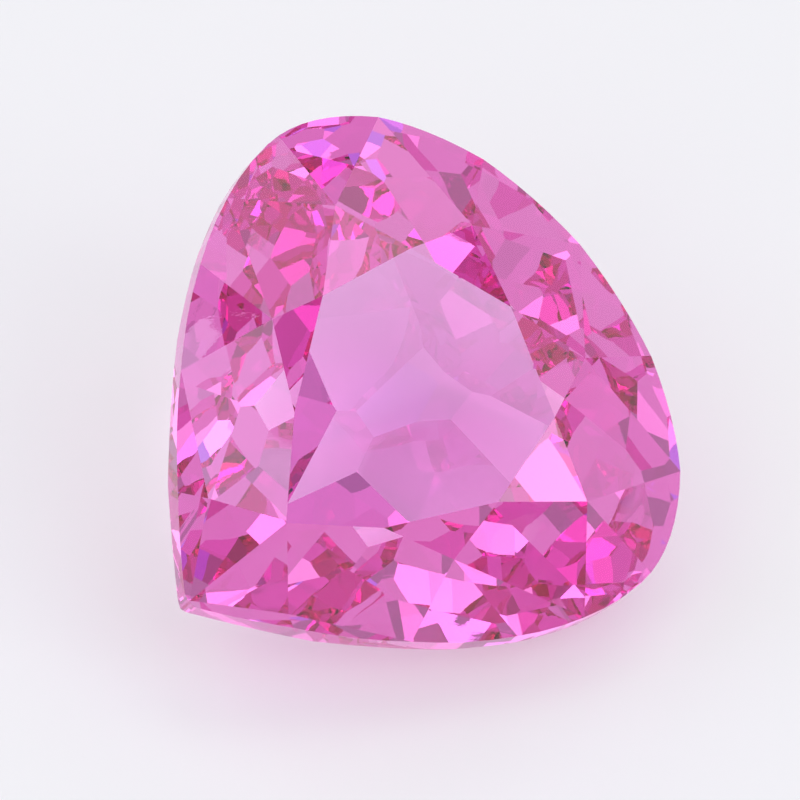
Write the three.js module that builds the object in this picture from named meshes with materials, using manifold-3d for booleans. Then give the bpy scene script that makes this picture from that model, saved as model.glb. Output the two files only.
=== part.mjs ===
// A cut pear-shaped pink sapphire, loose, lying on one facet of its pavilion.
// Millimetres and degrees, +Z up. The finished stone stands at its box's bottom centre.
//
// The stone is described in its own cutting frame and only then laid down:
// X runs from the tip to the round end, Y across, Z out of the table, and
// Z = 0 is the upper edge of the girdle. It starts as a blank with the pear's outline,
// and every facet is ground on by taking away what lies outside its plane.

import * as THREE from 'three';
import { mergeVertices } from 'three/addons/utils/BufferGeometryUtils.js';
import Module from 'manifold-3d';

const manifold = await Module();
manifold.setup();

// Outline of the girdle
const LENGTH = 6.96;
const LEFT_HALF = 3.55;
const RIGHT_HALF = 3.64;
const WIDEST_AT = 4.7;
const FLANK_POWER = 1.845;
const TIP_RADIUS = 0.22;
const TIP_STEPS = 4;
const FLANK_STEPS = 18;
const ROUND_STEPS = 20;
// Outline points crowd towards the tip: each flank step is u to this power
const FLANK_CROWDING = 1.15;
// The cutter left the stone a little out of square: its left side sits nearer the round end.
const SKEW = 0.036;

// Heights above and below the upper edge of the girdle
const CROWN_HEIGHT = 1.1;
const GIRDLE_HEIGHT = 0.45;
const BLANK_DEPTH = 4.5;

// Crown kites from the round end to the flank: the way each one faces, and its table corner
const ROUND_KITES = [
  { azimuth: 0, corner: [5.38, 0] },
  { azimuth: 42, corner: [4.88, 1.38] },
  { azimuth: 108, corner: [3.6, 1.68] },
];
const FLANK_AZIMUTH = 133;
// The two sides differ at the tip: where the flank kite meets the table, and its low shoulder
const SIDES = [
  { turn: 1, half: LEFT_HALF, flankCorner: [2.34, 0.85], shoulder: [0.99, 0.78] },
  { turn: -1, half: RIGHT_HALF, flankCorner: [2.25, 0.96], shoulder: [0.85, 0.95] },
];
const TIP_CORNER = [1.33, -0.1];
// A star's outer point lies at this share of the crown's height
const STAR_SHARE = 0.75;
// Along X, where the two girdle facets between neighbouring kites meet the girdle
const GIRDLE_BREAKS = [6.72, 4.87, 3.0, 0.85];

// Pavilion tiers from the girdle down: slope, how far under the girdle each tier's planes
// pass the outline, and the ways its facets face. A plus is the left side, a minus the right.
const PAVILION_TIERS = [
  { slope: 62, below: 0, azimuths: bothSides([0, 18, 36, 54, 72, 88, 102, 114, 124, 133, 144]) },
  { slope: 47, below: 0.3, azimuths: bothSides([9, 27, 45, 63, 80, 96, 109, 120, 129, 139]) },
  { slope: 41.5, below: 0.48, azimuths: bothSides([0, 20, 42]) },
  { slope: 38, below: 0.48, azimuths: [...bothSides([64, 86]), 104, 116, 126, 136] },
  { slope: 37.5, below: 0.42, azimuths: [-102, -114, -126, -137] },
];

// The culet, a small flat off the middle, and one low bevel beside it
const CULET = [4.2, 0.1, -2.8];
const CULET_BEVEL = { azimuth: -73, slope: 11, out: 0.33 };
// The last facets each meet the culet's level this far out from its middle
const KEEL_FACETS = [
  { azimuth: 91, slope: 28, out: 0.26 },
  { azimuth: -78, slope: 28.5, out: 0.55 },
  { azimuth: -111, slope: 29, out: 0.36 },
  { azimuth: 173, slope: 22, out: 0.6 },
];

// How the stone lies: the keel facet it rests on, and how it is turned as seen from the front
const REST_FACET = KEEL_FACETS[2];
const TABLE_LEAN = 17.5;
const AXIS_RISE = 42.4;

// Sides of the block that a facet is ground with, far larger than the stone
const LAP_SIZE = 30;
// Corners nearer than this are one corner
const SAME_POINT = 1e-6;

const PINK = 0xdc7ec3;

const rad = THREE.MathUtils.degToRad;

// One side's width at x on the flank: it grows as 1 - (1 - s)^power to the widest place
function flankWidth(half, x) {
  const s = THREE.MathUtils.clamp(x / WIDEST_AT, 0, 1);
  return half * (1 - (1 - s) ** FLANK_POWER);
}

// One side's width at x on the round end, a quarter of an ellipse
function roundWidth(half, x) {
  const s = (x - WIDEST_AT) / (LENGTH - WIDEST_AT);
  return half * Math.sqrt(Math.max(0, 1 - s * s));
}

function sideWidth(half, x) {
  return x <= WIDEST_AT ? flankWidth(half, x) : roundWidth(half, x);
}

// One half of the outline, from the tip's small arc to the end of the round end
function sideOutline(half) {
  const flankAngle = Math.atan((half * FLANK_POWER) / WIDEST_AT);
  const arcCentre = TIP_RADIUS / Math.sin(flankAngle);
  const arcSpan = Math.PI / 2 - flankAngle;
  const points = [];
  for (let i = 0; i < TIP_STEPS; i += 1) {
    const angle = Math.PI - (arcSpan * i) / TIP_STEPS;
    points.push([arcCentre + TIP_RADIUS * Math.cos(angle), TIP_RADIUS * Math.sin(angle)]);
  }
  const flankStart = arcCentre - TIP_RADIUS * Math.sin(flankAngle);
  for (let i = 0; i < FLANK_STEPS; i += 1) {
    const x = flankStart + (WIDEST_AT - flankStart) * (i / FLANK_STEPS) ** FLANK_CROWDING;
    points.push([x, flankWidth(half, x)]);
  }
  for (let i = 0; i <= ROUND_STEPS; i += 1) {
    const angle = (Math.PI / 2) * (1 - i / ROUND_STEPS);
    const x = WIDEST_AT + (LENGTH - WIDEST_AT) * Math.cos(angle);
    points.push([x, half * Math.sin(angle)]);
  }
  return points;
}

// The whole outline, anticlockwise: the right half out and the left half back
function outline() {
  const left = sideOutline(LEFT_HALF);
  const right = sideOutline(RIGHT_HALF).slice(1, -1).map(([x, y]) => [x, -y]);
  return [...right, ...left.reverse()];
}

const OUTLINE = outline();
const TIP_END = [Math.min(...OUTLINE.map(([x]) => x)), 0];

// The outline's farthest point towards an azimuth, and how far out it lies
function farthest(azimuth) {
  const [cx, cy] = [Math.cos(rad(azimuth)), Math.sin(rad(azimuth))];
  let reach = -Infinity;
  let point = null;
  for (const [x, y] of OUTLINE) {
    if (x * cx + y * cy > reach + SAME_POINT) {
      reach = x * cx + y * cy;
      point = [x, y];
    }
  }
  return { reach, point };
}

// A plane is a unit normal that points out of the stone and a point on it
function planeThrough(a, b, c) {
  const normal = b.clone().sub(a).cross(c.clone().sub(a)).normalize();
  if (normal.z < 0) normal.negate();
  return { normal, point: a.clone() };
}

// The height of a plane over a place in the plan
function heightOn(plane, [x, y]) {
  const { normal, point } = plane;
  return point.z - (normal.x * (x - point.x) + normal.y * (y - point.y)) / normal.z;
}

// Where two planes cross at one height
function crossing(first, second, z) {
  const rows = [first, second].map(({ normal, point }) => ({
    a: normal.x,
    b: normal.y,
    c: normal.dot(point) - normal.z * z,
  }));
  const [p, q] = rows;
  const det = p.a * q.b - q.a * p.b;
  return new THREE.Vector3((p.c * q.b - q.c * p.b) / det, (p.a * q.c - q.a * p.c) / det, z);
}

// A crown kite leans from its table corner out to the girdle
function kite(azimuth, corner) {
  const { reach, point } = farthest(azimuth);
  const out = new THREE.Vector2(Math.cos(rad(azimuth)), Math.sin(rad(azimuth)));
  const run = reach - (corner[0] * out.x + corner[1] * out.y);
  const normal = new THREE.Vector3(out.x * CROWN_HEIGHT, out.y * CROWN_HEIGHT, run).normalize();
  const top = new THREE.Vector3(corner[0], corner[1], CROWN_HEIGHT);
  return { normal, point: top, corner: top, foot: new THREE.Vector3(point[0], point[1], 0) };
}

// One side's crown: its kites, the tip facet, the stars and the pairs of girdle facets
function crownSide({ turn, half, flankCorner, shoulder }) {
  const flank = { azimuth: FLANK_AZIMUTH, corner: flankCorner };
  const kites = [...ROUND_KITES, flank].map(({ azimuth, corner: [x, y] }) => (
    kite(turn * azimuth, [x, turn * y])
  ));
  const low = [shoulder[0], turn * shoulder[1]];
  const tip = new THREE.Vector3(TIP_END[0], TIP_END[1], 0);
  const tipTop = new THREE.Vector3(TIP_CORNER[0], TIP_CORNER[1], CROWN_HEIGHT);
  const shoulderPoint = new THREE.Vector3(low[0], low[1], heightOn(kites[3], low));
  const planes = [...kites, planeThrough(tipTop, shoulderPoint, tip)];
  GIRDLE_BREAKS.forEach((x, i) => {
    const next = kites[i + 1];
    const peak = next ? crossing(kites[i], next, STAR_SHARE * CROWN_HEIGHT) : shoulderPoint;
    const middle = new THREE.Vector3(x, turn * sideWidth(half, x), 0);
    if (next) planes.push(planeThrough(kites[i].corner, next.corner, peak));
    planes.push(planeThrough(peak, kites[i].foot, middle));
    planes.push(planeThrough(peak, middle, next ? next.foot : tip));
  });
  return planes;
}

// A plane under the stone that faces an azimuth, sloped from level, through one point
function underPlane(slope, azimuth, [x, y, z]) {
  const normal = new THREE.Vector3(
    Math.sin(rad(slope)) * Math.cos(rad(azimuth)),
    Math.sin(rad(slope)) * Math.sin(rad(azimuth)),
    -Math.cos(rad(slope)),
  );
  return { normal, point: new THREE.Vector3(x, y, z) };
}

// A tier's facet passes under the outline's farthest point
function tierFacet({ slope, below }, azimuth) {
  const { point } = farthest(azimuth);
  return underPlane(slope, azimuth, [...point, -GIRDLE_HEIGHT - below]);
}

// A keel facet, or the bevel, passes its own edge at the culet's level
function keelFacet({ azimuth, slope, out }) {
  const [x, y, z] = CULET;
  const edge = [x + out * Math.cos(rad(azimuth)), y + out * Math.sin(rad(azimuth)), z];
  return underPlane(slope, azimuth, edge);
}

// Every azimuth and its mirror; straight at the round end there is only one
function bothSides(azimuths) {
  return azimuths.flatMap((azimuth) => (azimuth === 0 ? [0] : [azimuth, -azimuth]));
}

function pavilion() {
  const tiers = PAVILION_TIERS.flatMap((tier) => (
    tier.azimuths.map((azimuth) => tierFacet(tier, azimuth))
  ));
  const culet = underPlane(0, 0, CULET);
  return [...tiers, ...KEEL_FACETS.map(keelFacet), keelFacet(CULET_BEVEL), culet];
}

function toSolid(geometry) {
  const bare = geometry.clone();
  bare.deleteAttribute('normal');
  bare.deleteAttribute('uv');
  const merged = mergeVertices(bare, SAME_POINT);
  return new manifold.Manifold(new manifold.Mesh({
    numProp: 3,
    vertProperties: new Float32Array(merged.attributes.position.array),
    triVerts: new Uint32Array(merged.index.array),
  }));
}

function toGeometry(solid) {
  const mesh = solid.getMesh();
  const geometry = new THREE.BufferGeometry();
  geometry.setAttribute('position', new THREE.BufferAttribute(mesh.vertProperties, 3));
  geometry.setIndex(new THREE.BufferAttribute(mesh.triVerts, 1));
  return geometry;
}

// The blank: the outline carried from under the culet up to the table
function blank() {
  const shape = new THREE.Shape(OUTLINE.map(([x, y]) => new THREE.Vector2(x, y)));
  const depth = BLANK_DEPTH + CROWN_HEIGHT;
  const geometry = new THREE.ExtrudeGeometry(shape, { depth, bevelEnabled: false });
  geometry.translate(0, 0, -BLANK_DEPTH);
  return toSolid(geometry);
}

// Takes away everything outside one plane, as a lap grinds a facet
function grind(solid, { normal, point }) {
  const block = new THREE.BoxGeometry(LAP_SIZE, LAP_SIZE, LAP_SIZE);
  block.translate(0, 0, LAP_SIZE / 2);
  block.applyQuaternion(
    new THREE.Quaternion().setFromUnitVectors(new THREE.Vector3(0, 0, 1), normal),
  );
  block.translate(point.x, point.y, point.z);
  return solid.subtract(toSolid(block));
}

// Sets the stone out of square: x gains SKEW times y
const OUT_OF_SQUARE = new THREE.Matrix4().set(
  1, SKEW, 0, 0,
  0, 1, 0, 0,
  0, 0, 1, 0,
  0, 0, 0, 1,
);

function cutStone() {
  const facets = [...SIDES.flatMap(crownSide), ...pavilion()];
  const solid = facets.reduce(grind, blank());
  return toGeometry(solid).applyMatrix4(OUT_OF_SQUARE);
}

// The turn that lays the stone on its resting facet with its front facing -Y
function lyingTurn() {
  const { normal } = keelFacet(REST_FACET);
  const up = new THREE.Vector3(normal.x, normal.y - SKEW * normal.x, normal.z).normalize().negate();
  const right = new THREE.Vector3(
    Math.cos(rad(AXIS_RISE)) * Math.cos(rad(TABLE_LEAN)),
    -Math.sin(rad(AXIS_RISE)),
    Math.cos(rad(AXIS_RISE)) * Math.sin(rad(TABLE_LEAN)),
  );
  right.addScaledVector(up, -right.dot(up)).normalize();
  const back = up.clone().cross(right);
  return new THREE.Matrix4().makeBasis(right, back, up).transpose();
}

const material = new THREE.MeshStandardMaterial({ color: PINK, roughness: 0.03, metalness: 0 });
const sapphire = new THREE.Mesh(cutStone(), material);
sapphire.name = 'sapphire';
sapphire.quaternion.setFromRotationMatrix(lyingTurn());

// The box's bottom centre becomes the origin
const stone = new THREE.Group();
stone.add(sapphire);
stone.updateMatrixWorld(true);
const box = new THREE.Box3().setFromObject(sapphire, true);
sapphire.position.set(-(box.min.x + box.max.x) / 2, -(box.min.y + box.max.y) / 2, -box.min.z);

export default stone;
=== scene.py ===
"""A loose cut sapphire, pear shaped and pink, lying on a pale light table under soft panels.

The stone's solid comes from the frame. This script gives it its finish, and builds the
light table, the soft panels and the long macro lens that looks down on it.
"""

import logging
import math
from dataclasses import dataclass, field
from enum import Enum

import bpy
from mathutils import Matrix, Vector


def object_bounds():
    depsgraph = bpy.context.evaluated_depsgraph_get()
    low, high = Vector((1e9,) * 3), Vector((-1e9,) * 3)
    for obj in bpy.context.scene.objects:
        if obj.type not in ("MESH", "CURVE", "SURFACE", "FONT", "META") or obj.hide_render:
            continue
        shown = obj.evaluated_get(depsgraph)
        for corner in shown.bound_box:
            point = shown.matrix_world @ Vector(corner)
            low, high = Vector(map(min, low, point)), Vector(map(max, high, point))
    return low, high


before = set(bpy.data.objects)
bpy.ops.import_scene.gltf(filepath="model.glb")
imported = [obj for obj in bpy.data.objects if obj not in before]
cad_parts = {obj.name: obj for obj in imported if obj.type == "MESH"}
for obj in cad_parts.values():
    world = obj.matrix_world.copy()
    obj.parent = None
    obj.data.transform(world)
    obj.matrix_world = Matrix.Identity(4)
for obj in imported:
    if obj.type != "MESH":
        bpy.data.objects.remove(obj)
CAD_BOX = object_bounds()

LOG = logging.getLogger("sapphire")
MM = 0.001

# The photograph's frame and what it shows
IMAGE_SIZE = 800
PIXELS_PER_MM = 80.0
# The pixel that the middle of the stone's box falls on
STONE_CENTRE_PIXEL = (425.1, 396.4)

# The camera's angles in degrees: round from the front, up from the floor, about its own axis
CAMERA_AZIMUTH = -1.13
CAMERA_ELEVATION = 51.64
CAMERA_ROLL = 1.44
# It stands far off, so that the view is almost without perspective
CAMERA_DISTANCE_MM = 250.0
SENSOR_MM = 36.0
# How near and how far the camera sees, in metres
CLIP_RANGE = (0.01, 10.0)

# How many turns light may take inside the stone, and on matt surfaces
TURNS_IN_STONE = 24
MATT_TURNS = 4


def linear(code: str) -> tuple[float, float, float]:
    """Turns an sRGB hex colour into linear red, green and blue.

    Args:
        code: Six hex digits after a hash sign.

    Returns:
        The three linear values, each from 0 to 1.
    """
    channels = [int(code[i : i + 2], 16) / 255 for i in (1, 3, 5)]
    return tuple(c / 12.92 if c <= 0.04045 else ((c + 0.055) / 1.055) ** 2.4 for c in channels)


def add_node(
    tree: bpy.types.NodeTree,
    kind: str,
    settings: dict[str, object] | None = None,
    inputs: dict[str | int, object] | None = None,
) -> bpy.types.Node:
    """Adds a shader node, sets its properties and fills or links its inputs.

    Args:
        tree: The node tree that the node goes into.
        kind: The node's type name.
        settings: Property values by name.
        inputs: Input values by socket name or number, where an output socket makes a link.

    Returns:
        The new node.
    """
    node = tree.nodes.new(kind)
    for name, value in (settings or {}).items():
        setattr(node, name, value)
    for name, value in (inputs or {}).items():
        if isinstance(value, bpy.types.NodeSocket):
            tree.links.new(value, node.inputs[name])
        else:
            node.inputs[name].default_value = value
    return node


def heading(azimuth: float, elevation: float) -> Vector:
    """Turns an azimuth and an elevation into a direction.

    Args:
        azimuth: Degrees from the right of the picture towards the back.
        elevation: Degrees above the sheet.

    Returns:
        The unit vector that points that way.
    """
    a, e = math.radians(azimuth), math.radians(elevation)
    return Vector((math.cos(a) * math.cos(e), math.sin(a) * math.cos(e), math.sin(e)))


def empty_material(name: str) -> bpy.types.Material:
    """Makes a material with nodes and nothing in its tree.

    Args:
        name: The material's name.

    Returns:
        The new material.
    """
    material = bpy.data.materials.new(name)
    material.use_nodes = True
    material.node_tree.nodes.clear()
    return material


@dataclass(frozen=True)
class PolishedPinkSapphire:
    """Natural corundum, lap polished: clear, strongly refracting, pink by what it absorbs.

    It gives the eye crisp bright and dark shards, palest where light crosses the stone once
    and deepest where it turns many times. The absorption coefficient of each colour is the
    density times one minus the tint. Hand lapping leaves the facets a fraction of a degree
    short of flat, which bends the edges seen through them a little. The real polishing
    lines are less than a micron apart, so they are drawn as coarse as they need to show.
    """

    ior: float = 1.766
    roughness: float = 0.0
    wave_mm: float = 1.1
    wave_height_mm: float = 0.004
    line_mm: float = 0.04
    line_length: float = 25.0
    line_height_mm: float = 0.00002
    tint: str = "#F400DE"
    absorption_per_metre: float = 205.0

    def material(self) -> bpy.types.Material:
        """Builds the see-through material.

        Returns:
            The material, with its surface and its volume.
        """
        material = empty_material("lapped_pink_sapphire")
        tree = material.node_tree
        surface = add_node(
            tree,
            "ShaderNodeBsdfPrincipled",
            inputs={
                "Base Color": (1.0, 1.0, 1.0, 1.0),
                "Transmission Weight": 1.0,
                "Roughness": self.roughness,
                "IOR": self.ior,
                "Normal": self.lapped_normal(tree),
            },
        )
        body = add_node(
            tree,
            "ShaderNodeVolumeAbsorption",
            inputs={"Color": (*linear(self.tint), 1.0), "Density": self.absorption_per_metre},
        )
        add_node(
            tree,
            "ShaderNodeOutputMaterial",
            inputs={"Surface": surface.outputs["BSDF"], "Volume": body.outputs["Volume"]},
        )
        return material

    def lapped_normal(self, tree: bpy.types.NodeTree) -> bpy.types.NodeSocket:
        """Builds the facets' slight waviness and the polishing lines on it.

        Args:
            tree: The material's node tree.

        Returns:
            The socket of the bent normal.
        """
        place = add_node(tree, "ShaderNodeTexCoord").outputs["Object"]
        waves = add_node(
            tree,
            "ShaderNodeTexNoise",
            inputs={"Vector": place, "Scale": 1 / (self.wave_mm * MM), "Detail": 1.0},
        )
        waved = add_node(
            tree,
            "ShaderNodeBump",
            inputs={"Height": waves.outputs["Fac"], "Distance": self.wave_height_mm * MM},
        )
        drawn_out = add_node(
            tree,
            "ShaderNodeMapping",
            inputs={"Vector": place, "Scale": (1 / self.line_length, 1.0, 1.0)},
        )
        lines = add_node(
            tree,
            "ShaderNodeTexNoise",
            inputs={
                "Vector": drawn_out.outputs["Vector"],
                "Scale": 1 / (self.line_mm * MM),
                "Detail": 2.0,
            },
        )
        lined = add_node(
            tree,
            "ShaderNodeBump",
            inputs={
                "Height": lines.outputs["Fac"],
                "Distance": self.line_height_mm * MM,
                "Normal": waved.outputs["Normal"],
            },
        )
        return lined.outputs["Normal"]


@dataclass(frozen=True)
class OpalAcrylic:
    """Cast opal acrylic sheet lit softly from below, the top of a light table.

    It gives the eye an even near-white with no edges in it: a satin face whose sheen is
    broken up by a fine grain, and milk-glass clouding that is only just there.
    """

    colour: str = "#D0D0D2"
    clouded_colour: str = "#CCCCCF"
    cloud_mm: float = 9.0
    grain_mm: float = 0.15
    smoothest: float = 0.6
    roughest: float = 0.75
    specular: float = 0.2
    glow: float = 0.26

    def material(self) -> bpy.types.Material:
        """Builds the matt white material with its own faint glow.

        Returns:
            The material.
        """
        material = empty_material("cast_opal_acrylic")
        tree = material.node_tree
        place = add_node(tree, "ShaderNodeTexCoord").outputs["Object"]
        clouds = add_node(
            tree,
            "ShaderNodeTexNoise",
            inputs={"Vector": place, "Scale": 1 / (self.cloud_mm * MM), "Detail": 2.0},
        )
        tone = add_node(
            tree,
            "ShaderNodeMix",
            {"data_type": "RGBA"},
            {
                "Factor": clouds.outputs["Fac"],
                "A": (*linear(self.colour), 1.0),
                "B": (*linear(self.clouded_colour), 1.0),
            },
        )
        grain = add_node(
            tree,
            "ShaderNodeTexNoise",
            inputs={"Vector": place, "Scale": 1 / (self.grain_mm * MM), "Detail": 1.0},
        )
        satin = add_node(
            tree,
            "ShaderNodeMapRange",
            inputs={
                "Value": grain.outputs["Fac"],
                "To Min": self.smoothest,
                "To Max": self.roughest,
            },
        )
        surface = add_node(
            tree,
            "ShaderNodeBsdfPrincipled",
            inputs={
                "Base Color": tone.outputs["Result"],
                "Roughness": satin.outputs["Result"],
                "Specular IOR Level": self.specular,
                "Emission Color": (1.0, 1.0, 1.0, 1.0),
                "Emission Strength": self.glow,
            },
        )
        add_node(
            tree, "ShaderNodeOutputMaterial", inputs={"Surface": surface.outputs["BSDF"]}
        )
        return material


@dataclass
class CutStone:
    """The stone itself, one node of the frame, with its polished finish."""

    node: str = "sapphire"
    finish: PolishedPinkSapphire = field(default_factory=PolishedPinkSapphire)

    def dress(self) -> bpy.types.Object:
        """Gives the frame's own solid the stone's finish.

        Returns:
            The dressed object.
        """
        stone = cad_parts[self.node]
        finish = self.finish.material()
        for slot in stone.material_slots:
            slot.material = finish
        LOG.info("%s dressed in %s", self.node, self.finish.__class__.__name__)
        return stone


@dataclass
class LightTable:
    """The level sheet that the stone lies on.

    A hair of air stays between the sheet and the lowest facet, as between any two dry
    surfaces, so that light can still be reflected inside that facet.
    """

    half_width: float = 0.6
    air_gap: float = 0.02 * MM
    finish: OpalAcrylic = field(default_factory=OpalAcrylic)

    def build(self) -> bpy.types.Object:
        """Builds the sheet, one square face just under the stone's lowest facet.

        Returns:
            The sheet's object.
        """
        w, z = self.half_width, -self.air_gap
        mesh = bpy.data.meshes.new("light_table")
        mesh.from_pydata([(-w, -w, z), (w, -w, z), (w, w, z), (-w, w, z)], [], [(0, 1, 2, 3)])
        mesh.materials.append(self.finish.material())
        sheet = bpy.data.objects.new("light_table", mesh)
        bpy.context.scene.collection.objects.link(sheet)
        LOG.info("light table laid, %.1f m wide", 2 * w)
        return sheet


class PanelShape(Enum):
    """The outlines that a soft panel comes in."""

    OBLONG = "RECTANGLE"
    ROUND = "ELLIPSE"

    def area(self, width: float, height: float) -> float:
        """Works out the area: width times height, or a quarter of pi times that when round.

        Args:
            width: The outline's full width.
            height: The outline's full height.

        Returns:
            The area, in the square of the same unit.
        """
        return width * height * (math.pi / 4 if self is PanelShape.ROUND else 1.0)


@dataclass(frozen=True)
class SoftPanel:
    """A soft light panel that faces the stone.

    It is placed by its azimuth, counted from the right of the picture towards the back,
    and by its elevation above the sheet. Its energy is worked out from its radiance and its
    area, so a panel looks as bright from any distance.
    """

    name: str
    azimuth: float
    elevation: float
    width_mm: float
    height_mm: float
    radiance: float
    colour: str = "#FFFFFF"
    shape: PanelShape = PanelShape.OBLONG
    distance_mm: float = 150.0

    def build(self, target: Vector) -> bpy.types.Object:
        """Hangs the panel.

        Args:
            target: The place that the panel faces.

        Returns:
            The light object.
        """
        width, height = self.width_mm * MM, self.height_mm * MM
        lamp = bpy.data.lights.new(self.name, "AREA")
        lamp.shape = self.shape.value
        lamp.size = width
        lamp.size_y = height
        lamp.energy = self.radiance * math.pi * self.shape.area(width, height)
        lamp.color = linear(self.colour)
        panel = bpy.data.objects.new(self.name, lamp)
        bpy.context.scene.collection.objects.link(panel)
        away = heading(self.azimuth, self.elevation)
        panel.location = target + away * self.distance_mm * MM
        panel.rotation_euler = away.to_track_quat("Z", "Y").to_euler()
        panel.visible_camera = False
        LOG.info("%s hung, %.0f by %.0f mm", self.name, self.width_mm, self.height_mm)
        return panel


@dataclass
class MacroCamera:
    """A camera with a very long macro lens, so the stone is seen almost without perspective."""

    azimuth: float = CAMERA_AZIMUTH
    elevation: float = CAMERA_ELEVATION
    roll: float = CAMERA_ROLL
    distance: float = CAMERA_DISTANCE_MM * MM
    frame_width: float = IMAGE_SIZE / PIXELS_PER_MM * MM

    def axes(self) -> Matrix:
        """Works out the camera's own directions.

        Returns:
            A matrix whose columns point right, up and backward.
        """
        a, e, r = (math.radians(v) for v in (self.azimuth, self.elevation, self.roll))
        back = Vector((math.sin(a) * math.cos(e), -math.cos(a) * math.cos(e), math.sin(e)))
        level = Vector((math.cos(a), math.sin(a), 0.0))
        upright = back.cross(level)
        right = level * math.cos(r) + upright * math.sin(r)
        return Matrix((right, back.cross(right), back)).transposed()

    def target(self) -> Vector:
        """The middle of the stone's box."""
        low, high = (Vector(corner) for corner in CAD_BOX)
        return (low + high) / 2

    def build(self) -> bpy.types.Object:
        """Makes the camera and sets it as the scene's own.

        Returns:
            The camera's object.
        """
        lens = bpy.data.cameras.new("macro_camera")
        lens.sensor_width = SENSOR_MM
        lens.lens = SENSOR_MM * self.distance / self.frame_width
        lens.clip_start, lens.clip_end = CLIP_RANGE
        camera = bpy.data.objects.new("macro_camera", lens)
        bpy.context.scene.collection.objects.link(camera)
        axes = self.axes()
        right, up, back = axes.col
        from_middle = [(IMAGE_SIZE / 2 - p) / PIXELS_PER_MM * MM for p in STONE_CENTRE_PIXEL]
        aim = self.target() + right * from_middle[0] - up * from_middle[1]
        camera.matrix_world = Matrix.Translation(aim + back * self.distance) @ axes.to_4x4()
        bpy.context.scene.camera = camera
        LOG.info("camera set, lens %.0f mm", lens.lens)
        return camera


@dataclass(frozen=True)
class Surround:
    """The white walls round the stone and the less bright ceiling above them.

    The walls are brightest up to walls_top, and the ceiling begins at ceiling_edge, both
    in degrees above the sheet.
    """

    walls: float = 0.86
    ceiling: float = 0.46
    walls_top: float = 12.0
    ceiling_edge: float = 36.0

    def build(self) -> bpy.types.World:
        """Builds the world's light as a smooth step of the elevation's sine.

        Returns:
            The world.
        """
        world = bpy.data.worlds.new("white_surround")
        world.use_nodes = True
        tree = world.node_tree
        tree.nodes.clear()
        way = add_node(tree, "ShaderNodeTexCoord")
        parts = add_node(
            tree, "ShaderNodeSeparateXYZ", inputs={"Vector": way.outputs["Object"]}
        )
        strength = add_node(
            tree,
            "ShaderNodeMapRange",
            {"interpolation_type": "SMOOTHSTEP"},
            {
                "Value": parts.outputs["Z"],
                "From Min": math.sin(math.radians(self.walls_top)),
                "From Max": math.sin(math.radians(self.ceiling_edge)),
                "To Min": self.walls,
                "To Max": self.ceiling,
            },
        )
        light = add_node(
            tree,
            "ShaderNodeBackground",
            inputs={"Color": (1.0, 1.0, 1.0, 1.0), "Strength": strength.outputs["Result"]},
        )
        add_node(tree, "ShaderNodeOutputWorld", inputs={"Surface": light.outputs["Background"]})
        return world


@dataclass
class Studio:
    """The soft light round the stone: the white surround and a few panels.

    The key panel is mirrored by a star facet on the right, the cool panel on the left by the
    flank kite there and a girdle facet beside it, and the cool dish overhead by the table.
    """

    surround: Surround = field(default_factory=Surround)
    panels: tuple[SoftPanel, ...] = (
        SoftPanel("front_panel", 272, 50, 150, 120, 0.4),
        SoftPanel("front_right_panel", -32, 42, 90, 80, 0.95),
        SoftPanel("right_panel", 0, 45, 100, 80, 0.8),
        SoftPanel("back_panel", 68, 36, 50, 45, 1.0),
        SoftPanel("top_back_panel", 60, 70, 110, 42, 1.8),
        SoftPanel("top_left_panel", 180, 70, 110, 45, 0.4),
        SoftPanel("left_back_panel", 145, 43, 90, 80, 1.0),
        SoftPanel("left_cool_panel", 180, 34, 55, 55, 2.1, "#DCE4FF"),
        SoftPanel("left_front_panel", 220, 45, 70, 80, 1.15),
        SoftPanel("right_key_panel", -23, 31, 40, 45, 1.4),
        SoftPanel("overhead_cool_dish", -26, 62, 66, 66, 0.8, "#7F9CFF", PanelShape.ROUND),
    )

    def build(self, target: Vector) -> None:
        """Lights the scene.

        Args:
            target: The place that the panels face.
        """
        bpy.context.scene.world = self.surround.build()
        for panel in self.panels:
            panel.build(target)


def set_light_paths() -> None:
    """Lets light take the many turns it takes inside a cut stone, and keeps colours plain."""
    scene = bpy.context.scene
    scene.view_settings.view_transform = "Standard"
    paths = scene.cycles
    paths.max_bounces = TURNS_IN_STONE
    paths.transmission_bounces = TURNS_IN_STONE
    paths.glossy_bounces = TURNS_IN_STONE
    paths.diffuse_bounces = MATT_TURNS
    paths.sample_clamp_indirect = 0.0
    paths.blur_glossy = 0.0


def main() -> None:
    """Builds the camera, the light table, the light and the stone, in that order."""
    logging.basicConfig(level=logging.INFO, format="%(message)s")
    camera = MacroCamera()
    camera.build()
    LightTable().build()
    Studio().build(camera.target())
    CutStone().dress()
    set_light_paths()


if __name__ == "__main__":
    main()
